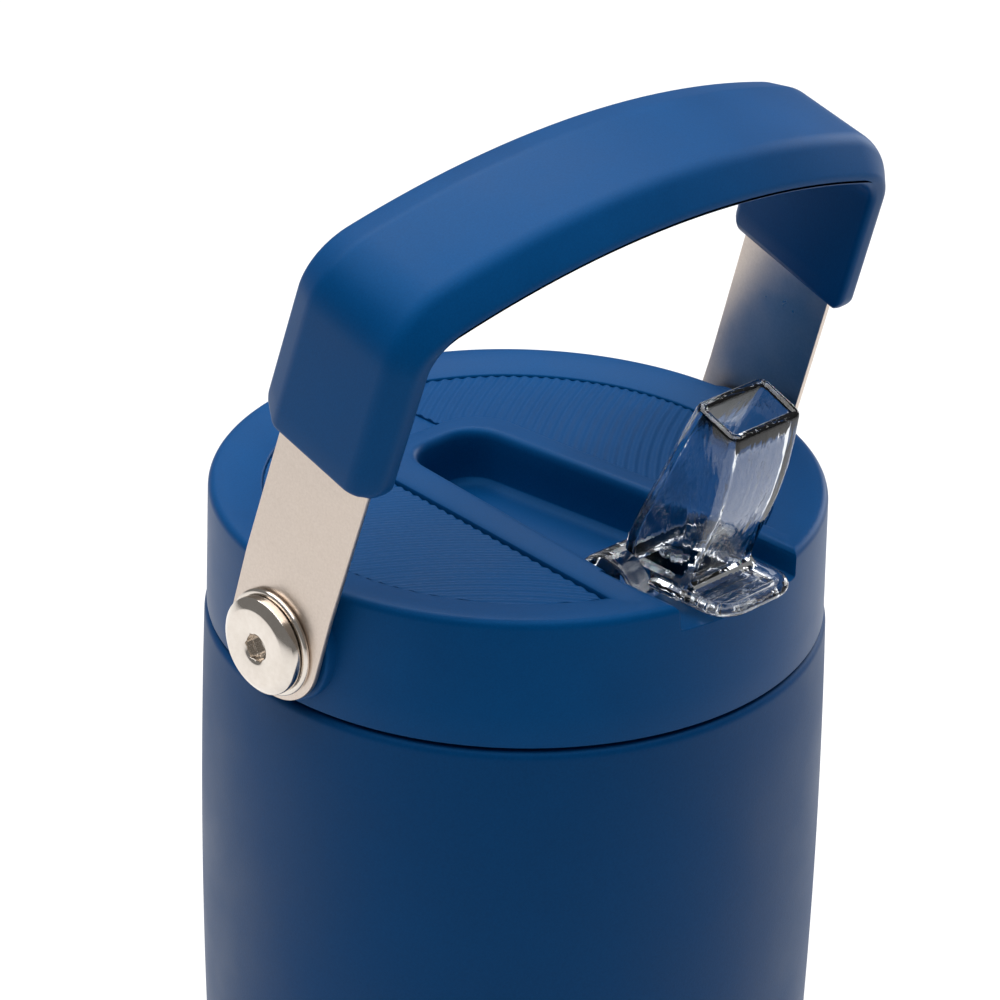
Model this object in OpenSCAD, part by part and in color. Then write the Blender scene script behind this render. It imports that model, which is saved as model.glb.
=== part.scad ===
// Large insulated water jug: steel double-wall body, screw-on lid with a flip-up clear
// spout, and a steel bail handle with a moulded grip.
// The origin is the centre of the base on the table, +Z is up and -Y is the spout side.
// The handle and the spout both turn about axes along X.

/* [Body] */
// Largest radius of the body, at the widest point of its gentle barrel
belly_r = 61.5; // [60.9:0.1:62]
// Height of the widest point above the table
belly_z = 151.5; // [120:0.5:180]
// Radius of curvature of the body's side, seen from the front
flank_r = 1500; // [1400:50:2400]
// Height of the steel body's shoulder
body_h = 208.5; // [207.5:0.5:209]
// Thickness of the steel walls
steel_t = 0.8; // [0.5:0.1:1]
// Distance from the outside of the body to the outside of the inner flask
vacuum_gap = 4.2; // [3.5:0.1:5]
// Outer radius of the neck
neck_r = 50; // [49.8:0.1:50]

/* [Lid] */
// Radius of the lid at its lower edge
lid_r = 60; // [59.5:0.1:60]
// Height of the lid's top above the table
lid_top = 235; // [235:0.1:235.5]
// Height of the lid's side
lid_side_h = 25.8; // [25:0.1:26]
// Wall thickness of the lid's moulding
lid_t = 2.6; // [2:0.1:3]
// How far the deck inside the rim lies below the lid's top
deck_drop = 1.8; // [1:0.1:2.2]
// Depth of the long trough in the lid's top
trough_depth = 11.4; // [11.2:0.1:11.6]
// Depth of the notch that the spout's finger tab lies in
notch_depth = 5.2; // [5:0.1:5.6]

/* [Spout] */
// Distance of the spout's hinge from the lid's axis
spout_y = 37; // [36.5:0.5:37.5]
// Depth of the spout's hinge below the lid's top
spout_drop = 6; // [6:0.1:6.2]
// Radius of the barrel at the spout's foot
barrel_r = 7.5; // [7:0.1:7.5]
// Outside width of the spout's tube
spout_w = 18.4; // [16:0.2:18.6]
// Wall thickness of the spout's tube
spout_t = 1.9; // [1.5:0.1:2]

/* [Handle] */
// Depth of the handle's pivot below the lid's top
pivot_drop = 13; // [13:0.1:13.2]
// Forward lean of the handle as it stands
handle_tilt = 16.7; // [0:0.1:25]
// Height of the strap's middle line above the pivot, at the middle of the grip
handle_rise = 87.4; // [87:0.1:92]
// Width of the steel strap
strap_w = 23.4; // [20:0.2:24]
// Thickness of the steel strap
strap_t = 1.2; // [1:0.1:1.2]
// Radius of the shoulder screws' heads
screw_head_r = 9.5; // [8:0.1:10]

/* [Hidden] */
$fn = 96;

shell_z = 0.8;                          // foot of the outer shell
foot_round = 4;                         // radius of the shell's foot
shoulder_round = 1.5;                   // radius of the shell's shoulder
base_cap_z = 2.4;                       // underside of the steel base disc
flask_z = 8;                            // underside of the inner flask
flask_round = 12;                       // radius at the flask's foot
flask_seam_z = 22;                      // weld between the flask's wall and its base
neck_top = 215.7;                       // lip of the flask
lid_foot = lid_top - lid_side_h;        // lower edge of the lid
deck_z = lid_top - deck_drop;           // deck inside the lid's rim
deck_r = 48.9;                          // radius of the deck
rim_r = 57.9;                           // where the rim's top starts to slope inwards
lid_draft = 0.5;                        // the lid's side narrows by this towards the top
lid_round = 1.6;                        // radius of the lid's top edge
plate_z = 217.2;                        // underside of the lid's inner plate
plate_top = 218.6;                      // top of the lid's inner plate
well_z = 220;                           // floor of the well under the spout's barrel
well_gap = 0.6;                         // room round the barrel
spout_z = lid_top - spout_drop;         // height of the spout's hinge
port_r = 3.2;                           // drinking port under the barrel
straw_r = 4;                            // outer radius of the straw
straw_bore_r = 2.8;
straw_foot = 14;                        // lower end of the straw
vent_x = -10.5;                         // the vent's place beside the port
trunnion_r = 2.5;                       // stub axle on the spout
run_gap = 0.08;                         // radial clearance of a running fit
pivot_z = lid_top - pivot_drop;         // height of the handle's pivot
boss_r = 12.4;                          // round boss on the lid's side
boss_x = 60.9;                          // face of that boss
strap_x = 62.3;                         // middle of the strap at the pivot
shoulder_r = 4;                         // shoulder of the pivot screws
screw_r = 2.4;                          // threaded end of the pivot screws
insert_r = 3.3;                         // brass insert moulded into the boss
collar_x = strap_x + strap_t / 2 + 0.1; // inner face of the collar
collar_t = 1.4;
head_x = collar_x + collar_t;           // inner face of the screw's head
head_t = 3.1;
lean = 2.8;                             // inward lean of the strap above the lid
lean_start = 14;                        // where the lean begins, above the pivot
corner_r = 9.5;                         // middle-line radius of the strap's corners
arch_r = 190;                           // middle-line radius of the arched top
grip_start = 30.4;                      // lower end of the grip, along the leaning strap

blue_pp = "#1d5a96";
blue_coat = "#0d3a6c";
steel = "#c9c5be";

// Points on an arc about (cx, cy), from angle a0 to a1 in n steps
function arc(cx, cy, r, a0, a1, n = 8) =
    [for (i = [0:n]) let (a = a0 + (a1 - a0) * i / n) [cx + r * cos(a), cy + r * sin(a)]];
function reverse(list) = [for (i = [len(list) - 1:-1:0]) list[i]];
function mirror_x(list) = [for (p = reverse(list)) [-p[0], p[1]]];

// ---- Steel body ----

function body_r(z) = belly_r - pow(z - belly_z, 2) / (2 * flank_r);
function flank(inset, z0, z1, n = 20) =
    [for (i = [0:n]) let (z = z0 + (z1 - z0) * i / n) [body_r(z) - inset, z]];

module outer_shell() {
    foot_r = body_r(shell_z + foot_round);
    top_r = body_r(body_h - shoulder_round);
    color(blue_coat)
    rotate_extrude($fn = 180)
    polygon(concat(
        [[foot_r - foot_round - 2, shell_z]],
        arc(foot_r - foot_round, shell_z + foot_round, foot_round, -90, 0),
        flank(0, shell_z + foot_round + 2, body_h - shoulder_round - 0.5),
        arc(top_r - shoulder_round, body_h - shoulder_round, shoulder_round, 0, 90),
        [[neck_r, body_h], [neck_r, body_h - steel_t]],
        [[top_r - shoulder_round, body_h - steel_t]],
        reverse(flank(steel_t, shell_z + foot_round + 2, body_h - shoulder_round - 0.5)),
        arc(foot_r - foot_round, shell_z + foot_round, foot_round - steel_t, 0, -90),
        [[foot_r - foot_round - 2, shell_z + steel_t]]
    ));
}

// One ring of thread segments: raised from r0 to r1 between heights z0 and z1
module thread_ring(r0, r1, z0, z1, count = 4, sweep = 62) {
    for (k = [0:count - 1])
        rotate([0, 0, k * 360 / count])
        rotate_extrude(angle = sweep)
        polygon([[r0, z0], [r1, z0 + 0.5], [r1, z1 - 0.5], [r0, z1]]);
}

module inner_flask() {
    top_z = body_h - 8;
    color(steel)
    union() {
        rotate_extrude($fn = 180)
        polygon(concat(
            flank(vacuum_gap, flask_seam_z, top_z),
            [[neck_r, body_h - 2], [neck_r, neck_top - 0.6], [neck_r - 0.4, neck_top]],
            [[neck_r - steel_t, neck_top], [neck_r - steel_t, body_h - 2 - steel_t]],
            reverse(flank(vacuum_gap + steel_t, flask_seam_z, top_z))
        ));
        thread_ring(neck_r - 0.2, neck_r + 1.2, 212.4, 214.6);
    }
}

module flask_base() {
    foot_r = body_r(flask_z + flask_round) - vacuum_gap;
    seam_r = body_r(flask_seam_z) - vacuum_gap;
    color(steel)
    rotate_extrude($fn = 180)
    polygon(concat(
        [[0, flask_z]],
        arc(foot_r - flask_round, flask_z + flask_round, flask_round, -90, 0),
        [[seam_r, flask_seam_z], [seam_r - steel_t, flask_seam_z]],
        arc(foot_r - flask_round, flask_z + flask_round, flask_round - steel_t, 0, -90),
        [[0, flask_z + steel_t]]
    ));
}

module base_cap() {
    cap_r = body_r(shell_z + foot_round) - foot_round - 0.1;
    color(steel)
    rotate_extrude()
    polygon([
        [0, base_cap_z], [cap_r - 4, base_cap_z], [cap_r - 2, shell_z + steel_t],
        [cap_r, shell_z + steel_t], [cap_r, shell_z + 2 * steel_t],
        [cap_r - 2, shell_z + 2 * steel_t], [cap_r - 4, base_cap_z + steel_t],
        [0, base_cap_z + steel_t]
    ]);
}

module getter() {
    color("#8d8f92")
    translate([22, 0, base_cap_z + steel_t])
    cylinder(r = 5, h = 2);
}

module base_pad() {
    pad_r = body_r(shell_z + foot_round) - foot_round - 6;
    color("#1b1d22")
    rotate_extrude()
    polygon([[0, 0], [pad_r - 0.8, 0], [pad_r, 0.8], [pad_r, base_cap_z], [0, base_cap_z]]);
}

// ---- Lid ----

// Half the trough's width, which grows towards the spout
function trough_half(y) = 11.2 - 0.097 * y;

// Outline of the trough in plan, grown outwards by wall, from its back end to y_front
module trough_outline(wall = 0, y_front = -62, back = 22, round = 7) {
    x_back = trough_half(back - round) + wall;
    right = concat(
        [[trough_half(y_front) + wall, y_front]],
        arc(x_back - round - wall, back - round, round + wall, 0, 90)
    );
    polygon(concat(right, mirror_x(right)));
}

// A cylinder along X from x0 to x1
module x_rod(r, x0, x1) {
    translate([x0, 0, 0])
    rotate([0, 90, 0])
    cylinder(r = r, h = x1 - x0);
}

module at_spout() {
    translate([0, -spout_y, spout_z])
    children();
}

module lid_shell() {
    top_r = lid_r - lid_draft;
    in_r = lid_r - lid_t;
    rotate_extrude($fn = 180)
    polygon(concat(
        [[lid_r - 0.4, lid_foot], [lid_r, lid_foot + 0.4]],
        arc(top_r - lid_round, lid_top - lid_round, lid_round, 0, 90),
        [[rim_r, lid_top], [deck_r, deck_z], [0, deck_z]],
        [[0, deck_z - lid_t], [in_r - 4, deck_z - lid_t], [in_r, deck_z - lid_t - 2]],
        [[in_r, lid_foot]]
    ));
}

module lid_cap() {
    well_half = barrel_r + well_gap;
    color(blue_pp)
    difference() {
        union() {
            lid_shell();
            intersection() {
                union() {
                    translate([0, 0, deck_z - lid_t])
                    linear_extrude(lid_top - deck_z + lid_t)
                    band_outline();
                    translate([0, 0, lid_top - trough_depth - 2.2])
                    linear_extrude(trough_depth)
                    trough_outline(2.2, -50, 22);
                    translate([-17.9, -58, lid_top - notch_depth - 2.2])
                    cube([35.8, 16, notch_depth]);
                }
                cylinder(r = 57.5, h = lid_top);
            }
            translate([-17.4, -spout_y - well_half - 1.8, plate_top])
            cube([34.8, 2 * well_half + 3.6, lid_top - plate_top - 4]);
            for (s = [-1, 1])
                translate([0, 0, pivot_z])
                x_rod(boss_r, s > 0 ? 56 : -boss_x, s > 0 ? boss_x : -56);
            for (s = [-1, 1])
                translate([0, 0, pivot_z])
                x_rod(6.5, s > 0 ? 51 : -57, s > 0 ? 57 : -51);
        }
        translate([0, 0, lid_top - trough_depth])
        linear_extrude(trough_depth + 1)
        trough_outline(0, -spout_y - well_half, 22);
        translate([-trough_half(-spout_y), -spout_y - well_half, well_z])
        cube([2 * trough_half(-spout_y), 2 * well_half, 20]);
        translate([-15.7, -64, lid_top - notch_depth])
        cube([31.4, 64 - spout_y, notch_depth + 1]);
        at_spout()
        x_rod(trunnion_r + run_gap, -17, 17);
        translate([0, -spout_y, plate_top - 1])
        cylinder(r = port_r, h = 4);
        translate([vent_x, -spout_y, plate_top - 1])
        cylinder(r = 1.2, h = 4);
        translate([0, 0, pivot_z]) {
            x_rod(insert_r, 52, 70);
            x_rod(insert_r, -70, -52);
        }
        translate([0, 0, lid_foot - 5])
        cylinder(r = lid_r - lid_t, h = plate_top - lid_foot + 5, $fn = 180);
    }
}

// The raised band round the trough, in plan
module band_outline() {
    right = concat([[22.4, -58]], arc(7.3, 18.5, 10, 0, 90));
    intersection() {
        polygon(concat(right, mirror_x(right)));
        circle(r = deck_r + 4);
    }
}

module lid_inner() {
    color("#20242b")
    difference() {
        union() {
            rotate_extrude()
            polygon([
                [0, 206.5], [47, 206.5], [48, 207.5], [48, plate_z], [52.8, plate_z],
                [52.8, 209.8], [54.6, 209.8], [54.6, plate_z], [57.2, plate_z],
                [57.2, plate_top], [0, plate_top], [0, plate_z], [46.4, plate_z],
                [46.4, 208], [0, 208]
            ]);
            thread_ring(53, 51.5, 210.2, 212.2);
            translate([0, -spout_y, 206.5])
            cylinder(r = 7.4, h = plate_z - 206);
            translate([vent_x, -spout_y, 206.5])
            cylinder(r = 3.4, h = plate_z - 206);
        }
        translate([0, -spout_y, 200])
        cylinder(r = 5.5, h = 30);
        translate([vent_x, -spout_y, 200])
        cylinder(r = 1.8, h = 30);
    }
}

module lid_insulation() {
    color("#e8e4d8")
    difference() {
        translate([0, 0, 208.1])
        cylinder(r = 46.2, h = plate_z - 208.2);
        translate([0, -spout_y, 200])
        cylinder(r = 7.6, h = 30);
        translate([vent_x, -spout_y, 200])
        cylinder(r = 3.6, h = 30);
    }
}

module lid_gasket() {
    color("#d9dcdf")
    rotate_extrude()
    polygon([
        [48.2, plate_z], [48.2, 216.2], [48.8, 215.8], [51, 215.8], [51.6, 216.2],
        [51.6, plate_z]
    ]);
}

module vent_valve() {
    color("#d9dcdf")
    translate([vent_x, -spout_y, 0])
    difference() {
        union() {
            translate([0, 0, 205.1])
            cylinder(r = 3.2, h = 1.4);
            translate([0, 0, 206])
            cylinder(r = 1.8, h = plate_top - 206);
        }
        translate([0, 0, 204])
        cylinder(r = 0.8, h = 30);
    }
}

// ---- Spout and straw ----

// Side outline of the spout's tube, as [distance in front of the lid's axis, height above
// the lid's top], with inset taken off the front and back walls
function tube_side(inset) = [
    [52.4 + inset, 36.4], [62.6 - inset, 32.4], [60.6 - inset, 21.4], [56.8 - inset, 10.2],
    [53.2 - inset, 1.8], [52 - inset, -3], [38 + inset, -3], [36 + inset, 1.5],
    [37.9 + inset, 7.2]
];

module tube_solid(inset, half, z_grow) {
    side = [for (p = tube_side(inset)) [-p[0], lid_top + p[1]]];
    over = [for (i = [0, 1]) [side[i][0] - z_grow * 0.4, side[i][1] + z_grow]];
    points = z_grow > 0
        ? concat([over[0], over[1]], [for (i = [1:len(side) - 1]) side[i]], [side[0]])
        : side;
    rotate([90, 0, 90])
    translate([0, 0, -half])
    linear_extrude(2 * half)
    polygon(points);
}

module finger_tab() {
    half = 10.4;
    round = 6;
    tip = 63.6;
    right = concat(
        [[half, -46]],
        arc(half - round, -tip + round, round, 0, -90)
    );
    translate([0, 0, lid_top - 3.6])
    linear_extrude(2.4)
    polygon(concat(right, mirror_x(right)));
}

module spout() {
    color([0.82, 0.88, 0.94, 0.45])
    difference() {
        union() {
            tube_solid(0, spout_w / 2, 0);
            finger_tab();
            at_spout() {
                x_rod(barrel_r, -14.2, 14.2);
                x_rod(trunnion_r, -16.8, 16.8);
            }
        }
        tube_solid(spout_t, spout_w / 2 - spout_t, 3);
        translate([0, -spout_y, spout_z - 12])
        cylinder(r = port_r - 0.2, h = 14);
        translate([-port_r, -48, spout_z - 1])
        cube([2 * port_r, 12, 6]);
    }
}

module spout_seal() {
    color("#d9dcdf")
    difference() {
        translate([-6, -spout_y - 6, well_z])
        cube([12, 12, 3.5]);
        at_spout()
        x_rod(barrel_r + run_gap, -20, 20);
        translate([0, -spout_y, well_z - 1])
        cylinder(r = port_r - 0.4, h = 6);
    }
}

module straw_socket() {
    color("#d9dcdf")
    translate([0, -spout_y, 0])
    difference() {
        union() {
            translate([0, 0, 203.5])
            cylinder(r = 7, h = 3);
            translate([0, 0, 206])
            cylinder(r = 5.5, h = plate_top - 206);
        }
        translate([0, 0, 200])
        cylinder(r = straw_r, h = 30);
    }
}

module straw() {
    color([0.86, 0.9, 0.94, 0.5])
    translate([0, -spout_y, straw_foot])
    difference() {
        cylinder(r = straw_r, h = plate_top - 1 - straw_foot);
        translate([0, 0, -1])
        cylinder(r = straw_bore_r, h = 300);
    }
}

// ---- Handle pivots, right side; the left side is the mirror image ----

module pivot_side(side) {
    translate([0, 0, pivot_z])
    mirror([side < 0 ? 1 : 0, 0, 0])
    children();
}

module thread_insert(side) {
    color("#c8a35a")
    pivot_side(side)
    difference() {
        x_rod(insert_r, 52, boss_x - 0.3);
        x_rod(screw_r, 50, 70);
    }
}

module pivot_bush(side) {
    color("#2a2d33")
    pivot_side(side)
    difference() {
        x_rod(9.2, boss_x, strap_x - strap_t / 2 - 0.1);
        x_rod(shoulder_r + 0.02, 55, 70);
    }
}

module screw_collar(side) {
    color("#d6d2cc")
    pivot_side(side)
    difference() {
        x_rod(screw_head_r + 0.9, collar_x, collar_x + collar_t);
        x_rod(shoulder_r + 0.02, 55, 70);
    }
}

module shoulder_screw(side) {
    socket_r = 5 / 2 / cos(30);
    color("#dedbd6")
    pivot_side(side)
    difference() {
        union() {
            x_rod(screw_r, 53, boss_x + 0.2);
            x_rod(shoulder_r, boss_x, head_x + 0.2);
            translate([head_x, 0, 0])
            rotate([0, 90, 0])
            rotate_extrude()
            polygon([
                [0, 0], [screw_head_r, 0], [screw_head_r, head_t - 0.9],
                [screw_head_r - 0.9, head_t], [0, head_t]
            ]);
        }
        translate([head_x + head_t - 2.2, 0, 0])
        rotate([0, 90, 0])
        cylinder(r = socket_r, h = 5, $fn = 6);
    }
}

// ---- Handle ----

// The strap's middle line in the handle's own plane, as [x, height above the pivot]. It
// rises from the pivot, leans inwards, turns a corner and meets the arched top.
lean_foot = [strap_x, lean_start];
lean_dir = [-sin(lean), cos(lean)];
lean_in = [-cos(lean), -sin(lean)];
arch_mid = [0, handle_rise - arch_r];
corner_from = lean_foot + corner_r * lean_in - arch_mid;
corner_along = -corner_from * lean_dir
    + sqrt(pow(corner_from * lean_dir, 2) - corner_from * corner_from
        + pow(arch_r - corner_r, 2));
corner_mid = lean_foot + corner_r * lean_in + corner_along * lean_dir;
arch_start = atan2(corner_mid[1] - arch_mid[1], corner_mid[0] - arch_mid[0]);

// The right half of the part of that line inside the grip, moved outwards by out
function grip_half(out, corner_n = 7, arch_n = 7) = concat(
    [lean_foot + grip_start * lean_dir - out * lean_in],
    arc(corner_mid[0], corner_mid[1], corner_r + out, lean, arch_start, corner_n),
    [for (i = [1:arch_n]) let (a = arch_start + (90 - arch_start) * i / arch_n)
        arch_mid + (arch_r + out) * [cos(a), sin(a)]]
);
function whole_line(half) = concat(half, [for (i = [len(half) - 2:-1:0]) [-half[i][0], half[i][1]]]);
function strap_half(out) = concat(
    [[strap_x + out, 0], [strap_x + out, lean_start]],
    grip_half(out)
);

module at_handle() {
    translate([0, 0, pivot_z])
    rotate([handle_tilt, 0, 0])
    children();
}

module strap_bend() {
    rotate([90, 0, 0])
    linear_extrude(strap_w, center = true)
    polygon(concat(
        whole_line(strap_half(strap_t / 2)),
        reverse(whole_line(strap_half(-strap_t / 2)))
    ));
}

module handle_band() {
    color(steel)
    at_handle()
    difference() {
        union() {
            strap_bend();
            for (s = [-1, 1])
                x_rod(strap_w / 2, s * strap_x - strap_t / 2, s * strap_x + strap_t / 2);
        }
        x_rod(shoulder_r + run_gap, -80, 80);
    }
}

// Cross-sections, as [towards the front, outwards from the strap] on the legs and then the
// same on the arch. The grip has a flat top, a bevel along each side and narrow rims.
grip_section = [
    [-14.2, -1.8, -14.2, -2.6], [-15.2, -0.8, -15.2, -1.6], [-15.2, 3, -15.2, 2],
    [-9.5, 5.4, -9, 4.4], [11.4, 5.6, 9.8, 5.1], [15.4, 2, 15.4, -0.6],
    [15.4, -0.8, 15.4, -1.6], [14.4, -1.8, 14.4, -2.6]
];
strap_section = [for (c = [[-1, -1], [-1, 1], [1, 1], [1, -1]])
    let (w = c[0] * strap_w / 2, out = c[1] * strap_t / 2) [w, out, w, out]];

// Places along the right half of the grip, from down below its lower end to the middle of
// the arch: [point, outward direction, how far the leg's section has turned into the arch's]
function half_places(down, corner_n = 7, arch_n = 7) = concat(
    [[lean_foot + (grip_start - down) * lean_dir, -lean_in, 0]],
    [for (i = [0:corner_n]) let (a = lean + (arch_start - lean) * i / corner_n)
        [corner_mid + corner_r * [cos(a), sin(a)], [cos(a), sin(a)], i / corner_n]],
    [for (i = [1:arch_n]) let (a = arch_start + (90 - arch_start) * i / arch_n)
        [arch_mid + arch_r * [cos(a), sin(a)], [cos(a), sin(a)], 1]]
);
function grip_places(half) = concat(half, [for (i = [len(half) - 2:-1:0]) let (p = half[i])
    [[-p[0][0], p[0][1]], [-p[1][0], p[1][1]], p[2]]]);

// A section swept over the grip's length, and on past its lower ends by down
module sweep_over_grip(section, down = 0) {
    places = grip_places(half_places(down));
    rings = len(places);
    sides = len(section);
    points = [for (place = places, c = section) let (
        w = c[0] + (c[2] - c[0]) * place[2],
        at = place[0] + (c[1] + (c[3] - c[1]) * place[2]) * place[1]
    ) [at[0], -w, at[1]]];
    walls = [for (i = [0:rings - 2], k = [0:sides - 1]) let (m = (k + 1) % sides)
        [i * sides + k, i * sides + m, (i + 1) * sides + m, (i + 1) * sides + k]];
    foot = [for (k = [sides - 1:-1:0]) k];
    top = [for (k = [0:sides - 1]) (rings - 1) * sides + k];
    polyhedron(points = points, faces = concat(walls, [foot, top]), convexity = 6);
}

module handle_grip() {
    color(blue_pp)
    at_handle()
    difference() {
        sweep_over_grip(grip_section);
        sweep_over_grip(strap_section, 1);
    }
}

outer_shell();
inner_flask();
flask_base();
base_cap();
getter();
base_pad();
lid_cap();
lid_inner();
lid_insulation();
lid_gasket();
vent_valve();
spout();
spout_seal();
straw_socket();
straw();
thread_insert(-1);  // thread_insert_left
thread_insert(1);  // thread_insert_right
pivot_bush(-1);  // pivot_bush_left
pivot_bush(1);  // pivot_bush_right
screw_collar(-1);  // screw_collar_left
screw_collar(1);  // screw_collar_right
shoulder_screw(-1);  // shoulder_screw_left
shoulder_screw(1);  // shoulder_screw_right
handle_band();
handle_grip();
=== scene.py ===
# Large insulated water jug with a flip-up spout and a bail handle, for the visual model.
# Shapes are worked out in millimetres and turned to metres when a piece is finished.
from math import atan2, cos, pi, radians, sin, sqrt, tan

import bmesh
import bpy
from mathutils import Matrix, Vector


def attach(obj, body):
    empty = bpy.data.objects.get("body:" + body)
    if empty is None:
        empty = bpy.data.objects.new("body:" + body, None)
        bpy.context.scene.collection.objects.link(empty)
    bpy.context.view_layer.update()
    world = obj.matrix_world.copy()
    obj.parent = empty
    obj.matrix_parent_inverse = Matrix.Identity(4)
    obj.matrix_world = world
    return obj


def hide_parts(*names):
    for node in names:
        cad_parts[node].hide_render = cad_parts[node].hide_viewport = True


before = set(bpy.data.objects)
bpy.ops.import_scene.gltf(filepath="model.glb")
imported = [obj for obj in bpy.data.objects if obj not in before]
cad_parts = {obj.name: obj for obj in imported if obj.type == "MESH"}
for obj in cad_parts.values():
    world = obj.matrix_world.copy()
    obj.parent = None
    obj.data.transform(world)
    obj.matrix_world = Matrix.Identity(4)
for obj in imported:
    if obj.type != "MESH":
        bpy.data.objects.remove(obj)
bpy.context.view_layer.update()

# ---- Sizes shared by the pieces, in mm and degrees ----

LID_TOP = 235
LID_R = 60
LID_FOOT = 209.2
PIVOT_Z = 222      # height of the handle's pivots
SPOUT_Y = -37      # the spout's hinge
SPOUT_Z = 229
TILT = 16.7        # how far the handle leans forward
STRAP_X = 62.3
STRAP_W = 23.4
STRAP_T = 1.2
RISE = 87.4        # top of the strap's middle line, above the pivot
LEAN = 2.8         # inward lean of the legs
LEAN_START = 14
CORNER_R = 9.5
ARCH_R = 190
GRIP_START = 30.4
BELLY_R = 61.5     # the body's widest radius, and the height of it
BELLY_Z = 151.5
BELLY_CURVE = 3000  # twice the flank's long radius, in mm
BOSS_R = 12.4
INSERT_R = 3.3     # hole for a brass insert
STRAP_HOLE_R = 4.08
MERGE = 0.002      # points closer than this are one


# ---- Shape helpers ----

def arc(cx, cy, r, a0, a1, n=8):
    """Points on an arc about (cx, cy) from angle a0 to a1, in n steps."""
    turns = [radians(a0 + (a1 - a0) * i / n) for i in range(n + 1)]
    return [(cx + r * cos(a), cy + r * sin(a)) for a in turns]


def rounded(corners, radii, n=6):
    """The closed outline through these corners, each one rounded in n steps."""
    points = []
    for k, corner in enumerate(corners):
        here = Vector(corner)
        back = (Vector(corners[k - 1]) - here).normalized()
        ahead = (Vector(corners[(k + 1) % len(corners)]) - here).normalized()
        half = back.angle(ahead) / 2
        r = radii[k] if isinstance(radii, (list, tuple)) else radii
        centre = here + (back + ahead).normalized() * (r / sin(half))
        first = complex(*(here + back * (r / tan(half)) - centre))
        last = complex(*(here + ahead * (r / tan(half)) - centre))
        for i in range(n + 1):
            p = first * (last / first) ** (i / n)
            points.append((centre.x + p.real, centre.y + p.imag))
    return points


def mirrored(right):
    """A right-hand outline with its left half added."""
    return right + [(-x, y) for x, y in reversed(right)]


def close_up(bm):
    """Merges doubles and turns every face outwards."""
    bmesh.ops.remove_doubles(bm, verts=bm.verts, dist=MERGE)
    bmesh.ops.recalc_face_normals(bm, faces=bm.faces)
    return bm


def lathe(profile, steps=192, along="Z"):
    """Turns a closed profile of (radius, height) points about Z, or about X."""
    bm = bmesh.new()
    verts = [bm.verts.new((r, 0, z)) for r, z in profile]
    pairs = zip(verts, verts[1:] + verts[:1])
    edges = [bm.edges.new((a, b)) for a, b in pairs if max(a.co.x, b.co.x) > 0]
    bmesh.ops.spin(
        bm, geom=verts + edges, cent=(0, 0, 0), axis=(0, 0, 1), angle=2 * pi,
        steps=steps, use_merge=True)
    if along == "X":
        bmesh.ops.rotate(bm, verts=bm.verts, matrix=Matrix.Rotation(pi / 2, 3, "Y"))
    return close_up(bm)


def loft(sections):
    """Skins a row of closed sections and closes both ends."""
    bm = bmesh.new()
    loops = []
    for section in sections:
        verts = [bm.verts.new(p) for p in section]
        loops.append([bm.edges.new(pair) for pair in zip(verts, verts[1:] + verts[:1])])
    for here, there in zip(loops, loops[1:]):
        bmesh.ops.bridge_loops(bm, edges=here + there)
    for end in (loops[0], loops[-1]):
        bmesh.ops.contextual_create(bm, geom=end)
    return close_up(bm)


def nested(outline, steps):
    """Skins a plan outline, called with an outward offset, at each (offset, z) step."""
    return loft([[(x, y, z) for x, y in outline(grow)] for grow, z in steps])


def prism(outline, z0, z1):
    """A flat outline raised from z0 to z1."""
    return loft([[(x, y, z) for x, y in outline] for z in (z0, z1)])


def block(x0, x1, y0, y1, z0, z1, edge=0):
    """A box between these limits, with its edges rounded."""
    bm = bmesh.new()
    bmesh.ops.create_cube(bm, size=1)
    bmesh.ops.scale(bm, vec=(x1 - x0, y1 - y0, z1 - z0), verts=bm.verts)
    middle = ((x0 + x1) / 2, (y0 + y1) / 2, (z0 + z1) / 2)
    bmesh.ops.translate(bm, vec=middle, verts=bm.verts)
    if edge:
        bmesh.ops.bevel(
            bm, geom=bm.edges[:], offset=edge, offset_type="OFFSET", segments=3,
            profile=0.5, affect="EDGES", material=-1)
    return bm


def moved(bm, x=0, y=0, z=0):
    """The shape, moved by this much."""
    bmesh.ops.translate(bm, vec=(x, y, z), verts=bm.verts)
    return bm


def flipped(bm):
    """The shape's mirror image across the middle plane."""
    bmesh.ops.scale(bm, vec=(-1, 1, 1), verts=bm.verts)
    bmesh.ops.recalc_face_normals(bm, faces=bm.faces)
    return bm


def rod(r, x0, x1, edge=0.3, steps=48):
    """A round bar along X from x0 to x1, its ends rounded by edge."""
    bar = [(0, x0)] + arc(r - edge, x0 + edge, edge, -90, 0, 3)
    bar += arc(r - edge, x1 - edge, edge, 0, 90, 3) + [(0, x1)]
    return lathe(bar, steps, along="X")


def combine(base, operation, *tools):
    """The base with each tool joined on (UNION), cut away (DIFFERENCE) or kept in common."""
    for tool in tools:
        pair = []
        for bm in (base, tool):
            mesh = bpy.data.meshes.new("blank")
            bm.to_mesh(mesh)
            bm.free()
            pair.append(bpy.data.objects.new("blank", mesh))
            bpy.context.scene.collection.objects.link(pair[-1])
        step = pair[0].modifiers.new("step", "BOOLEAN")
        step.operation = operation
        step.solver = "EXACT"
        step.object = pair[1]
        base = bmesh.new()
        base.from_object(pair[0], bpy.context.evaluated_depsgraph_get())
        for obj in pair:
            mesh = obj.data
            bpy.data.objects.remove(obj)
            bpy.data.meshes.remove(mesh)
    return base


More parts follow.
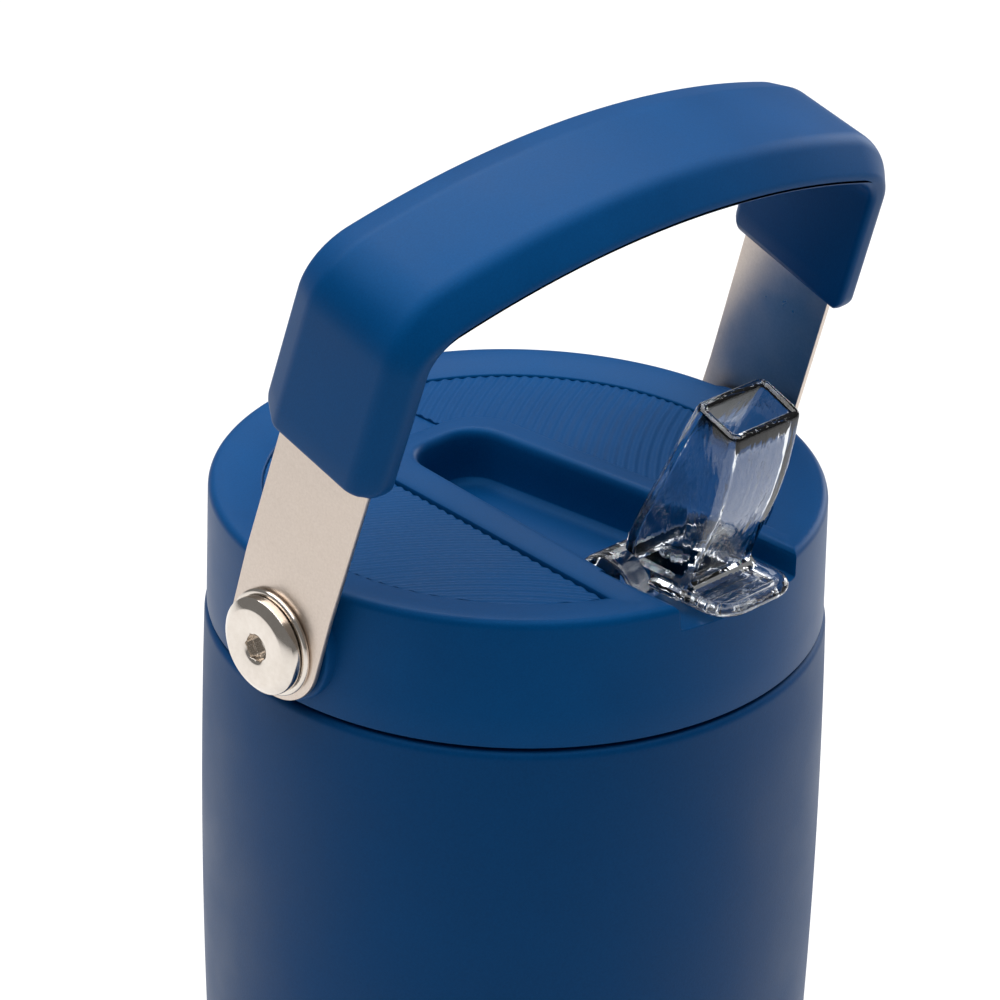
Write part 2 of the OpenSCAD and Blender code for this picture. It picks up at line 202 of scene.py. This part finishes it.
def finish(name, bm, body, material, stands_for=(), crease=34):
    """Makes the finished piece: metres, smooth shading, its body and material."""
    bmesh.ops.remove_doubles(bm, verts=bm.verts, dist=MERGE)
    bmesh.ops.dissolve_degenerate(bm, edges=bm.edges, dist=MERGE)
    bmesh.ops.scale(bm, vec=(0.001, 0.001, 0.001), verts=bm.verts)
    mesh = bpy.data.meshes.new(name)
    bm.to_mesh(mesh)
    bm.free()
    mesh.shade_smooth()
    mesh.set_sharp_from_angle(angle=radians(crease))
    mesh.materials.append(material)
    obj = bpy.data.objects.new(name, mesh)
    bpy.context.scene.collection.objects.link(obj)
    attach(obj, body)
    if stands_for:
        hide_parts(*stands_for)
    return obj


# ---- Materials ----

def colour(code):
    """An sRGB hex colour as linear RGBA."""
    parts = [int(code[i:i + 2], 16) / 255 for i in (1, 3, 5)]
    return tuple(c / 12.92 if c <= 0.04045 else ((c + 0.055) / 1.055) ** 2.4
                 for c in parts) + (1.0,)


def add(tree, kind, inputs=None, links=None, **settings):
    """Adds a node, sets its sockets and properties, and links sockets to outputs."""
    node = tree.nodes.new("ShaderNode" + kind)
    for key, value in settings.items():
        setattr(node, key, value)
    for key, value in (inputs or {}).items():
        node.inputs[key].default_value = value
    for key, output in (links or {}).items():
        tree.links.new(output, node.inputs[key])
    return node


def blank_material(name, **sockets):
    """A new material with its shader's own sockets set, its tree and its coordinates."""
    material = bpy.data.materials.new(name)
    material.use_nodes = True
    tree = material.node_tree
    shader = tree.nodes["Principled BSDF"]
    for key, value in sockets.items():
        shader.inputs[key.replace("_", " ")].default_value = value
    return material, tree, shader, add(tree, "TexCoord").outputs["Object"]


def grained(name, pale, deep, rough, grain_mm, depth_mm, patch_mm, edge_mm=0, **sockets):
    """A surface with a fine grain in relief, soft patches of colour and gloss, and
    edges that catch the light."""
    material, tree, shader, place = blank_material(name, **sockets)
    grain = add(tree, "TexNoise", {"Scale": 1000 / grain_mm, "Detail": 3, "Roughness": 0.6},
                {"Vector": place})
    patch = add(tree, "TexNoise", {"Scale": 1000 / patch_mm, "Detail": 4, "Roughness": 0.55},
                {"Vector": place})
    blend = add(tree, "Math", {1: 0.6, 2: 0.2}, {0: grain.outputs["Fac"]},
                operation="MULTIPLY_ADD")
    mixed = add(tree, "Math", {1: 0.4}, {0: patch.outputs["Fac"], 2: blend.outputs[0]},
                operation="MULTIPLY_ADD")
    tint = add(tree, "ValToRGB", links={"Fac": mixed.outputs[0]})
    tint.color_ramp.elements[0].position = 0.4
    tint.color_ramp.elements[0].color = colour(deep)
    tint.color_ramp.elements[1].position = 0.95
    tint.color_ramp.elements[1].color = colour(pale)
    tree.links.new(tint.outputs["Color"], shader.inputs["Base Color"])
    gloss = add(tree, "MapRange", {"From Min": 0.3, "From Max": 0.7, "To Min": rough[0],
                                   "To Max": rough[1]}, {"Value": patch.outputs["Fac"]})
    tree.links.new(gloss.outputs["Result"], shader.inputs["Roughness"])
    relief = add(tree, "Bump", {"Strength": 1, "Distance": depth_mm / 1000},
                 {"Height": grain.outputs["Fac"]})
    if edge_mm:
        soft = add(tree, "Bevel", {"Radius": edge_mm / 1000}, samples=6)
        tree.links.new(soft.outputs["Normal"], relief.inputs["Normal"])
    tree.links.new(relief.outputs["Normal"], shader.inputs["Normal"])
    return material


# Injection-moulded polypropylene with a fine spark-eroded texture: a satin, slightly
# waxy blue whose sheen breaks up softly. The real grit, about 0.05 mm, is drawn at
# 0.35 mm so that it shows.
moulded_pp = grained("moulded_blue_polypropylene", "#00447A", "#003462", (0.42, 0.50),
                     0.35, 0.010, 22, edge_mm=0.35, IOR=1.49, Specular_IOR_Level=0.4,
                     Specular_Tint=colour("#3F86C4"))

# The same polypropylene in charcoal, on the lid's underside and the pivot bushes.
dark_pp = grained("moulded_charcoal_polypropylene", "#2B3038", "#1F232A", (0.42, 0.55),
                  0.35, 0.008, 18, edge_mm=0.25, IOR=1.49)

# Powder coat baked on steel: deeper and duller than the plastic, with a sandy grain
# of about 0.2 mm, drawn at 0.45 mm, that sparkles at grazing angles.
powder_coat = grained("baked_navy_powder_coat", "#003C6E", "#002D57", (0.44, 0.56),
                      0.45, 0.022, 30, IOR=1.5, Specular_IOR_Level=0.45,
                      Specular_Tint=colour("#4A84B8"))

# Stamped and tumbled stainless strip: a warm satin metal with a faint mottled grain
# of about 0.3 mm, drawn at 0.5 mm, and no lengthwise brushing.
satin_strip = grained("tumbled_stainless_strip", "#DCCFC4", "#C6B8AC", (0.27, 0.38),
                      0.5, 0.006, 9, edge_mm=0.2, Metallic=1.0)

# Turned steel with bright nickel plating: mirror-like, warm white, with faint swirl.
bright_nickel = grained("plated_bright_nickel", "#E9E1D8", "#D9CFC4", (0.07, 0.14),
                        1.2, 0.003, 6, edge_mm=0.25, Metallic=1.0)

# Drawn stainless sheet of the flask and base: cool grey, lightly brushed round.
drawn_steel = grained("drawn_stainless_sheet", "#C9C8C6", "#B2B1AF", (0.22, 0.34),
                      0.6, 0.006, 12, Metallic=1.0)

# Sintered getter pellet: dull metallic grey.
getter_metal = grained("sintered_getter", "#90908F", "#777776", (0.5, 0.7), 0.4, 0.03, 4,
                       Metallic=1.0)

# Moulded food-grade silicone: milky, soft sheen, a trace of light through it.
silicone = grained("moulded_silicone", "#E4E6E6", "#D4D7D8", (0.38, 0.5), 0.5, 0.006, 10,
                   IOR=1.43, Subsurface_Weight=0.3, Subsurface_Scale=0.002)

# Compression-moulded rubber foot pad: near black and matt.
pad_rubber = grained("moulded_black_rubber", "#26282B", "#191B1E", (0.62, 0.78), 0.5,
                     0.03, 14, edge_mm=0.3, IOR=1.52)

# Knurled brass insert: warm yellow metal with turning marks.
brass = grained("turned_brass", "#CFA95C", "#B8913F", (0.24, 0.36), 0.5, 0.01, 5,
                Metallic=1.0)

# Expanded polyurethane foam: cream, matt, with open cells about 0.6 mm across.
foam = grained("expanded_cream_foam", "#E9E3D2", "#D3CBB6", (0.8, 0.95), 0.6, 0.12, 8,
               IOR=1.45)


def clear_plastic(name, tone):
    """Injection-moulded clear copolyester: water-clear with faint flow ripples, which
    bend what is seen through the thick walls into streaks."""
    material, tree, shader, place = blank_material(
        name, Transmission_Weight=1.0, IOR=1.52, Base_Color=colour(tone))
    stretch = add(tree, "Mapping", {"Scale": (1, 1, 0.16)}, {"Vector": place})
    ripple = add(tree, "TexNoise", {"Scale": 420, "Detail": 2, "Roughness": 0.5},
                 {"Vector": stretch.outputs["Vector"]})
    haze = add(tree, "MapRange", {"From Min": 0.35, "From Max": 0.7, "To Min": 0.01,
                                  "To Max": 0.05}, {"Value": ripple.outputs["Fac"]})
    relief = add(tree, "Bump", {"Strength": 1, "Distance": 0.00012},
                 {"Height": ripple.outputs["Fac"]})
    tree.links.new(haze.outputs["Result"], shader.inputs["Roughness"])
    tree.links.new(relief.outputs["Normal"], shader.inputs["Normal"])
    return material


copolyester = clear_plastic("moulded_clear_copolyester", "#F6F9FC")

# Extruded clear straw, a touch cloudier than the spout.
straw_tube = clear_plastic("extruded_clear_straw", "#E9F0F5")

# ---- Steel body ----


def body_r(z):
    return BELLY_R - (z - BELLY_Z) ** 2 / BELLY_CURVE


def flank(inset, z0, z1, n=44):
    """The body's barrel side from z0 to z1, taken in by inset."""
    heights = [z0 + (z1 - z0) * i / n for i in range(n + 1)]
    return [(body_r(z) - inset, z) for z in heights]


foot_r = body_r(4.8)
shoulder_r = body_r(207)
shell = [(foot_r - 6, 0.8)] + arc(foot_r - 4, 4.8, 4, -90, 0, 10)
shell += flank(0, 6.8, 206.5) + arc(shoulder_r - 1.5, 207, 1.5, 0, 90, 6)
shell += [(50.1, 208.5), (50.1, 207.7), (shoulder_r - 1.5, 207.7)]
shell += flank(0.8, 206.5, 6.8) + arc(foot_r - 4, 4.8, 3.2, 0, -90, 6)
shell += [(foot_r - 6, 1.6)]
finish("body_shell", lathe(shell, 256), "jug", powder_coat, ["outer_shell"])

pad_r = foot_r - 10
pad = [(0, 0), (pad_r - 1, 0)] + arc(pad_r - 0.8, 0.8, 0.8, -80, 0, 4)
pad += [(pad_r, 2.4), (0, 2.4)]
rings = [lathe([(r, -0.5), (r + 1.2, -0.5), (r + 0.9, 0.5), (r + 0.3, 0.5)], 128)
         for r in (12, 20, 28, 36)]
finish("foot_pad", combine(lathe(pad, 160), "DIFFERENCE", *rings), "jug",
       pad_rubber, ["base_pad"])

# ---- Lid ----


def trough_half(y):
    return 11.2 - 0.097 * y


def trough_plan(grow, front=-45.1, back=22, corner=7, front_corner=2):
    """The trough's outline in plan, grown outwards."""
    wide = trough_half(front) + grow
    narrow = trough_half(back) + grow
    corners = [(wide, front - grow), (narrow, back + grow),
               (-narrow, back + grow), (-wide, front - grow)]
    r_back, r_front = corner + grow, front_corner + grow
    return rounded(corners, [r_front, r_back, r_back, r_front], 10)


top_r = LID_R - 0.5
cap = [(LID_R - 0.8, LID_FOOT)] + arc(LID_R - 0.5, LID_FOOT + 0.5, 0.5, -90, 0, 4)
cap += [(59.86, 216), (59.72, 222.5), (59.59, 229.3)]
cap += arc(top_r - 1.7, LID_TOP - 1.7, 1.7, 0, 84, 8)
cap += [(56.2, 234.93), (54, 234.62), (51.6, 234.1), (49.8, 233.62)]
cap += [(49.3, 233.42), (49.1, 233.1), (49.1, 232.6), (0, 232.6)]
cap += [(0, 230.6), (53.4, 230.6), (57.4, 228.6), (57.4, LID_FOOT)]
lid = lathe(cap, 256)

# The raised band round the trough: a crowned strip that runs round it in a U.
band_sections = []
inner = [(trough_half(y), y) for y in (-58, -52, -46, -40, -30, -20, -10, 0, 8, 15)]
inner += arc(trough_half(22) - 7, 15, 7, 0, 90, 12)[1:] + [(1.1, 22)]
outer_path = [(22.4, -58), (22, -52), (21.6, -46), (21.1, -40), (20.5, -30),
              (19.8, -20), (19.1, -10), (18.4, 0), (17.8, 9), (17.3, 17)]
outer_path += arc(7.3, 18.5, 10, 0, 90, 12)[1:] + [(3.6, 28.5)]
crown = [(-0.12, -3), (-0.12, -0.12), (0.1, -0.03), (0.3, -0.06), (0.55, -0.28),
         (0.8, -0.68), (0.94, -1.02), (0.985, -1.25), (1.0, -1.6), (1.0, -3)]
whole_inner, whole_outer = mirrored(inner), mirrored(outer_path)
for (ix, iy), (ox, oy) in zip(whole_inner, whole_outer):
    band_sections.append([
        (ix + (ox - ix) * t, iy + (oy - iy) * t, LID_TOP + drop) for t, drop in crown])
band = combine(loft(band_sections), "INTERSECT",
               lathe([(0, 228), (56.8, 228), (56.8, 236), (0, 236)], 192))
tub = nested(trough_plan, [(0.6, 221.4), (2.2, 223), (2.2, 232.8)])
notch_floor = block(-17.9, 17.9, -56, -40, 227.6, 232.9)
well_wall = block(-17.4, 17.4, -47.2, -27, 218.7, 233)
lid = combine(lid, "UNION", band, tub, notch_floor, well_wall)
for side in (-1, 1):
    boss = rod(BOSS_R, 52, 60.9, 0.7, 72)
    clear = lathe([(0, 0), (57.3, 0), (57.3, 230), (0, 230)], 128)
    boss = combine(moved(boss, z=PIVOT_Z), "DIFFERENCE", clear)
    stub = combine(moved(rod(6.5, 51, 58, 0.3), z=PIVOT_Z), "DIFFERENCE",
                   block(40, 60, -10, 10, 210, 218.6))
    pair = [boss, stub] if side > 0 else [flipped(boss), flipped(stub)]
    lid = combine(lid, "UNION", *pair)

trough_steps = [(-3.4, 223.6), (-2.3, 223.75), (-1.3, 224.2), (-0.6, 225), (-0.3, 226.4),
                (-0.15, 230), (0, 233), (0.15, 233.8), (0.5, 234.45), (1.0, 234.85),
                (1.6, 235.02), (1.7, 237)]
well = block(-14.79, 14.79, -45.1, -28.9, 220, 236, 0.3)
notch = [(-15.1, 229.8), (-15.4, 229.95), (-15.6, 230.3), (-15.7, 233.4), (-15.9, 234.2),
         (-16.4, 234.75), (-17.1, 235.02), (-17.2, 237)]
notch_plan = [(x, z) for x, z in notch] + [(-x, z) for x, z in reversed(notch)]
notch_cut = loft([[(x, y, z) for x, z in notch_plan] for y in (-66, -38)])
lid = combine(lid, "DIFFERENCE", nested(trough_plan, trough_steps), well, notch_cut,
              moved(rod(2.58, -17, 17, 0.2), y=SPOUT_Y, z=SPOUT_Z),
              moved(rod(INSERT_R, 50, 70, 0.2), z=PIVOT_Z),
              moved(rod(INSERT_R, -70, -50, 0.2), z=PIVOT_Z),
              moved(lathe([(0, 216), (3.2, 216), (3.2, 222), (0, 222)], 48), y=SPOUT_Y),
              moved(lathe([(0, 216), (1.2, 216), (1.2, 222), (0, 222)], 32),
                    x=-10.5, y=SPOUT_Y))
finish("lid_cap", lid, "lid", moulded_pp, ["lid_cap"], crease=28)

# Fine ribs on the deck, in arcs about a far point: a wavy sheet cut to the crescent
# between the band and the rim.
RIB_PITCH = 2.1
RIB_STEPS = 8
RIB_FAR = (-92.8, -90.8)
RIB_FIRST = 72      # radius of the innermost rib
RIB_COUNT = 40
for name, side in (("deck_ribs_left", -1), ("deck_ribs_right", 1)):
    wave = [(RIB_FIRST + RIB_PITCH * i / RIB_STEPS,
             233.12 + 0.16 * cos(2 * pi * i / RIB_STEPS))
            for i in range(RIB_COUNT * RIB_STEPS)]
    wave = [(RIB_FIRST, 232.4)] + wave + [(wave[-1][0], 232.4)]
    bm = bmesh.new()
    verts = [bm.verts.new((r, 0, z)) for r, z in wave]
    edges = [bm.edges.new(pair) for pair in zip(verts, verts[1:] + verts[:1])]
    bmesh.ops.rotate(bm, verts=bm.verts, matrix=Matrix.Rotation(radians(2), 3, "Z"))
    spun = bmesh.ops.spin(bm, geom=verts + edges, cent=(0, 0, 0), axis=(0, 0, 1),
                          angle=radians(86), steps=64)
    bmesh.ops.contextual_create(bm, geom=edges)
    bmesh.ops.contextual_create(
        bm, geom=[g for g in spun["geom_last"] if isinstance(g, bmesh.types.BMEdge)])
    ribs = close_up(moved(bm, x=RIB_FAR[0], y=RIB_FAR[1]))
    disc = lathe([(0, 232.62), (48.8, 232.62), (48.8, 236), (0, 236)], 192)
    edge_line = [(-x - 0.3, y) for x, y in outer_path[:-2]] + [(-7.1, 28.8), (-7.1, 60)]
    keep = prism([(-60, 60)] + [(-60, -58)] + edge_line, 230, 238)
    ribs = combine(ribs, "INTERSECT", disc, keep)
    if side > 0:
        ribs = flipped(ribs)
    finish(name, ribs, "lid", moulded_pp, crease=60)

# ---- Handle ----

lean = radians(LEAN)
lean_foot = Vector((STRAP_X, LEAN_START))
lean_dir = Vector((-sin(lean), cos(lean)))
lean_in = Vector((-cos(lean), -sin(lean)))
arch_mid = Vector((0, RISE - ARCH_R))
to_corner = lean_foot + CORNER_R * lean_in - arch_mid
rise = -to_corner.dot(lean_dir) + sqrt(
    to_corner.dot(lean_dir) ** 2 - to_corner.length_squared + (ARCH_R - CORNER_R) ** 2)
corner_mid = lean_foot + CORNER_R * lean_in + rise * lean_dir
arch_turn = atan2(corner_mid.y - arch_mid.y, corner_mid.x - arch_mid.x)
s_corner = LEAN_START + rise
s_arch = s_corner + CORNER_R * (arch_turn - lean)
s_top = s_arch + ARCH_R * (pi / 2 - arch_turn)


def line_at(s):
    """The strap's middle line s mm up from the right pivot: its point and outward way."""
    if s > s_top:
        point, out = line_at(2 * s_top - s)
        return Vector((-point.x, point.y)), Vector((-out.x, out.y))
    if s < LEAN_START:
        return Vector((STRAP_X, s)), Vector((1, 0))
    if s < s_corner:
        return lean_foot + (s - LEAN_START) * lean_dir, -lean_in
    centre, r, turn = corner_mid, CORNER_R, lean + (s - s_corner) / CORNER_R
    if s > s_arch:
        centre, r, turn = arch_mid, ARCH_R, arch_turn + (s - s_arch) / ARCH_R
    out = Vector((cos(turn), sin(turn)))
    return centre + r * out, out


def on_handle(s, w, out):
    """A place on the handle: s along the strap, w towards the front, out from it."""
    point, outward = line_at(s)
    point = point + outward * out
    lean_forward = radians(TILT)
    y, z = -w, point.y
    return (point.x, y * cos(lean_forward) - z * sin(lean_forward),
            PIVOT_Z + y * sin(lean_forward) + z * cos(lean_forward))


def bent(bm):
    """A straight blank, laid out as (s, w, out), bent to the handle's line."""
    for vert in bm.verts:
        vert.co = on_handle(*vert.co)
    bmesh.ops.recalc_face_normals(bm, faces=bm.faces)
    return bm


def stations(s0, s1, coarse=4.0):
    """Places along the line from s0 to s1, close together round the corners."""
    places = [s0 + (s1 - s0) * i / round((s1 - s0) / coarse)
              for i in range(round((s1 - s0) / coarse) + 1)]
    for a, b in ((s_corner, s_arch), (2 * s_top - s_arch, 2 * s_top - s_corner)):
        places = [s for s in places if s < a - 0.6 or s > b + 0.6]
        places += [a + (b - a) * i / 16 for i in range(17)]
    return sorted(places)


half_w = STRAP_W / 2
blank = arc(0, 0, half_w, 90, 270, 32) + arc(2 * s_top, 0, half_w, -90, 90, 32)
strap = prism(blank, -STRAP_T / 2, STRAP_T / 2)
perimeter = [e for e in strap.edges if abs(e.verts[0].co.z - e.verts[1].co.z) < 0.01]
bmesh.ops.bevel(strap, geom=perimeter, offset=0.22, offset_type="OFFSET", segments=2,
                profile=0.5, affect="EDGES", material=-1)
holes = [moved(lathe([(0, -2), (STRAP_HOLE_R, -2), (STRAP_HOLE_R, 2), (0, 2)], 48), x=s)
         for s in (0, 2 * s_top)]
strap = combine(strap, "DIFFERENCE", *holes)
for s in stations(LEAN_START, 2 * s_top - LEAN_START, 5):
    everything = strap.verts[:] + strap.edges[:] + strap.faces[:]
    bmesh.ops.bisect_plane(strap, geom=everything, plane_co=(s, 0, 0),
                           plane_no=(1, 0, 0))
finish("handle_strap", bent(strap), "handle", satin_strip,
       ["handle_band"])

# The grip's section as (towards the front, outwards) on the legs and on the arch, and how
# each corner is rounded.
leg_corners = [(-15.2, -1.8), (-15.2, 3), (-9.5, 5.4), (11.4, 5.6), (15.4, 2),
               (15.4, -1.8)]
arch_corners = [(-15.2, -2.6), (-15.2, 2), (-9, 4.4), (9.8, 5.1), (15.4, -0.6),
                (15.4, -2.6)]
corner_rounds = [1.6, 2.2, 5, 4.5, 2.6, 1.4]
s_grip = LEAN_START + GRIP_START
GRIP_EDGE = 1.2     # rounding of the grip's ends
BACK_ROUND = 6      # corners of each leg's end
FRONT_ROUND = 3


def end_rise(w):
    """How far the leg's end is cut back at w by its rounded corners."""
    if w < -9.2:
        return BACK_ROUND - sqrt(max(0, BACK_ROUND ** 2 - (-9.2 - w) ** 2))
    if w > 12.4:
        return FRONT_ROUND - sqrt(max(0, FRONT_ROUND ** 2 - (w - 12.4) ** 2))
    return 0


def grip_ring(s, inset, up):
    """The grip's section at s, inset all round and moved up the leg by up."""
    turned = min(1, max(0, (s - s_corner) / (s_arch - s_corner)))
    turned = turned * turned * (3 - 2 * turned)
    corners = [Vector(a).lerp(Vector(b), turned)
               for a, b in zip(leg_corners, arch_corners)]
    ring = []
    for w, out in rounded(corners, corner_rounds):
        w, out = w * (1 - inset / 15.3), 1.8 + (out - 1.8) * (1 - inset / 3.7)
        cut = end_rise(w)
        straight = s_corner - s_grip
        along = s_grip + cut + (s - s_grip) * (1 - cut / straight) + up
        ring.append((along if s < s_corner else s, w, out))
    return ring


half_rings = [grip_ring(s_grip, GRIP_EDGE * (1 - sin(a)), GRIP_EDGE * (1 - cos(a)))
              for a in (0, 0.3, 0.6, 0.9, 1.2)]
leg_and_arch = [s for s in stations(s_grip + GRIP_EDGE, 2 * s_top - s_grip - GRIP_EDGE)
                if s <= s_top]
half_rings += [grip_ring(s, 0, 0) for s in leg_and_arch]
if leg_and_arch[-1] < s_top - 0.01:
    half_rings.append(grip_ring(s_top, 0, 0))
other_half = [[(2 * s_top - s, w, out) for s, w, out in ring]
              for ring in reversed(half_rings[:-1])]
finish("handle_grip_cover", bent(loft(half_rings + other_half)), "handle",
       moulded_pp, ["handle_grip"], crease=50)

# ---- Handle pivots: bush, collar and screw on each side ----

HEAD_X = 64.4
screw_head = [(0, 65.6)] + [(2.6, 65.6), (2.6, 67.1), (3.1, 67.4)]
screw_head += [(3.4, 67.5), (7.4, 67.5), (7.7, 67.44), (9.15, 66.5), (9.42, 66.25)]
screw_head += [(9.5, 65.9), (9.5, 64.75), (9.25, 64.45), (8.9, HEAD_X), (4, HEAD_X)]
screw_head += [(4, 60.9), (2.4, 60.7), (2.4, 53), (0, 53)]
collar = [(4.02, 63)] + arc(9.8, 63.6, 0.6, -90, 0, 4) + arc(9.8, 63.7, 0.6, 0, 90, 4)
collar += [(9.3, 64.28), (9.1, 64.1), (8.2, 64.1), (8.0, HEAD_X - 0.02),
           (4.02, HEAD_X - 0.02)]
bush = [(4.02, 60.9), (9.0, 60.9), (9.2, 61.05), (9.2, 61.45), (9.0, 61.6), (4.02, 61.6)]
for side, word in ((-1, "left"), (1, "right")):
    hexagon = [(66.1, 5 / sqrt(3) * cos(pi * k / 3), 5 / sqrt(3) * sin(pi * k / 3))
               for k in range(6)]
    socket = loft([[(x, y, z) for _, y, z in hexagon] for x in (65.3, 68)])
    head = combine(lathe(screw_head, 96, along="X"), "DIFFERENCE", socket)
    parts = (
        ("pivot_screw_", "shoulder_screw_", head, "bright_steel", bright_nickel),
        ("pivot_collar_", "screw_collar_", lathe(collar, 96, along="X"), "bright_steel",
         bright_nickel),
        ("pivot_bush_", "pivot_bush_", lathe(bush, 96, along="X"), "dark_plastic",
         dark_pp))
    for name, stands_for, bm, slot, material in parts:
        if side < 0:
            bm = flipped(bm)
        finish(name + word + "_turned", moved(bm, z=PIVOT_Z), "lid", material,
               [stands_for + word])

# ---- Spout ----

# The tube's front and back lines as (distance forward, height above the lid's top).
tube_front = [(51.8, -4), (52.6, -1), (53.4, 2), (55, 6), (56.8, 10.2), (58.9, 15.6),
              (60.6, 21.4), (61.8, 27.2), (62.5, 31.8), (62.6, 32.4)]
tube_back = [(38, -4), (36.4, -1), (36.1, 2), (36.9, 4.8), (38.3, 8.2), (41, 13.6),
             (44.2, 20), (48.2, 28.2), (52, 35.6), (52.4, 36.4)]
TUBE_HALF = 9.2
TUBE_WALL = 1.9


def tube_ring(front, back, inset, corner, lift=0):
    """The tube's rounded section between a front and a back point."""
    front, back = Vector(front), Vector(back)
    across = (front - back).normalized()
    depth = (front - back).length
    half = TUBE_HALF - inset
    plan = rounded([(half, inset), (half, depth - inset), (-half, depth - inset),
                    (-half, inset)], corner, 6)
    axis = Vector((-across.y, across.x))
    ring = []
    for x, d in plan:
        p = back + across * d + axis * lift
        ring.append((x, -p.x, LID_TOP + p.y))
    return ring


rings = [tube_ring(f, b, 0, 1.9) for f, b in zip(tube_front[:-1], tube_back[:-1])]
lip_front, lip_back = tube_front[-1], tube_back[-1]
rings += [tube_ring(lip_front, lip_back, 0.06, 1.9, -0.28),
          tube_ring(lip_front, lip_back, 0.25, 1.7, -0.08),
          tube_ring(lip_front, lip_back, 0.6, 1.5, 0)]
tube = loft(rings)
bore = [tube_ring(f, b, TUBE_WALL + 0.25 * (1 - i / 8), 0.7)
        for i, (f, b) in enumerate(zip(tube_front[1:-1], tube_back[1:-1]))]
bore += [tube_ring(lip_front, lip_back, 1.7, 0.9, -0.3),
         tube_ring(lip_front, lip_back, 1.3, 1.1, 0),
         tube_ring(lip_front, lip_back, 1.0, 1.2, 3)]


def tab_plan(grow):
    """The finger tab's outline, grown outwards."""
    r = 6 + grow
    half, tip, root = 10.4 + grow, -63.6 - grow, -44 + grow
    return rounded([(half, root), (half, tip), (-half, tip), (-half, root)],
                   [0.3, r, r, 0.3], 8)


tab = nested(tab_plan, [
    (-3.2, 231.75), (-3.0, 231.5), (-2.2, 231.35), (-1.2, 231.4), (-0.4, 231.75),
    (0, 232.4), (0, 232.9), (-0.4, 233.5), (-1.2, 233.8), (-2.0, 233.7), (-2.8, 233.2),
    (-3.2, 233.05)])
grooves = [moved(rod(0.35, -8, 8, 0.1, 16), y=y, z=231.55) for y in (-55, -57, -59)]
foot = combine(moved(rod(7.5, -14.2, 14.2, 0.9, 72), y=SPOUT_Y, z=SPOUT_Z), "UNION",
               moved(rod(2.5, -16.8, 16.8, 0.3), y=SPOUT_Y, z=SPOUT_Z))
fillet = loft([[(x, -54.5, 233.5), (x, -52.6, 233.5), (x, -52.6, 235.6)]
               for x in (-8.2, 8.2)])
spout = combine(tube, "UNION", foot, tab, fillet)
port = moved(lathe([(0, 217), (3, 217), (3, 231), (0, 231)], 48), y=SPOUT_Y)
link = block(-3.2, 3.2, -48, -36, 228, 234, 0.4)
spout = combine(spout, "DIFFERENCE", loft(bore), port, link, *grooves)
finish("clear_spout", spout, "spout", copolyester, ["spout"], crease=40)

# ---- Finishes of the parts whose shape is kept ----

kept = {
    drawn_steel: ("inner_flask", "flask_base", "base_cap"),
    getter_metal: ("getter",),
    dark_pp: ("lid_inner",),
    foam: ("lid_insulation",),
    silicone: ("lid_gasket", "vent_valve", "spout_seal", "straw_socket"),
    straw_tube: ("straw",),
    brass: ("thread_insert_left", "thread_insert_right"),
}
for material, names in kept.items():
    for name in names:
        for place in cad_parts[name].material_slots:
            place.material = material

# ---- Floor, lights and camera ----

floor_mesh = bmesh.new()
bmesh.ops.create_grid(floor_mesh, x_segments=1, y_segments=1, size=4)
mesh = bpy.data.meshes.new("studio_floor")
floor_mesh.to_mesh(mesh)
floor_mesh.free()
floor = bpy.data.objects.new("studio_floor", mesh)
bpy.context.scene.collection.objects.link(floor)
paper, _, _, _ = blank_material("white_studio_paper", Base_Color=colour("#D6D6D6"),
                                Roughness=0.9, Emission_Color=colour("#FFFFFF"),
                                Emission_Strength=0.15)
floor.data.materials.append(paper)

world = bpy.data.worlds.new("studio")
world.use_nodes = True
world.node_tree.nodes["Background"].inputs["Color"].default_value = (1, 1, 1, 1)
world.node_tree.nodes["Background"].inputs["Strength"].default_value = 0.2
bpy.context.scene.world = world
bpy.context.scene.view_settings.view_transform = "Standard"


def softbox(name, place, target, size, power):
    """A square soft light that faces the target."""
    light = bpy.data.lights.new(name, "AREA")
    light.size = size
    light.energy = power
    lamp = bpy.data.objects.new(name, light)
    lamp.location = place
    lamp.rotation_euler = (Vector(target) - Vector(place)).to_track_quat("-Z", "Y").to_euler()
    bpy.context.scene.collection.objects.link(lamp)


softbox("overhead", (0.1, 0.3, 1.7), (0.1, 0.3, 0), 2.4, 58)
softbox("right_edge", (1.3, 0.1, 0.5), (0, 0, 0.2), 0.6, 4)

# The camera, as a distance, a bearing and a height angle from the lid's top, and the
# small turns that place the object in the frame.
BEARING, ELEVATION = 0.793127, 0.459924
DISTANCE = 0.753144
YAW, PITCH, ROLL = -0.0045165, -0.0065101, 0.0264120
away = Vector((-sin(BEARING) * cos(ELEVATION), -cos(BEARING) * cos(ELEVATION),
               sin(ELEVATION)))
right = (-away).cross(Vector((0, 0, 1))).normalized()
up = right.cross(-away)
look = (-away + tan(YAW) * right + tan(PITCH) * up).normalized()
right = look.cross(up).normalized()
up = right.cross(look)
across = cos(ROLL) * right + sin(ROLL) * up
upright = -sin(ROLL) * right + cos(ROLL) * up
lens = bpy.data.cameras.new("camera")
lens.sensor_width = 36
lens.lens = 141.253
lens.clip_end = 20
camera = bpy.data.objects.new("camera", lens)
turn = Matrix((across, upright, -look)).transposed().to_4x4()
camera.matrix_world = Matrix.Translation(Vector((0, 0, 0.235)) + DISTANCE * away) @ turn
bpy.context.scene.collection.objects.link(camera)
bpy.context.scene.camera = camera
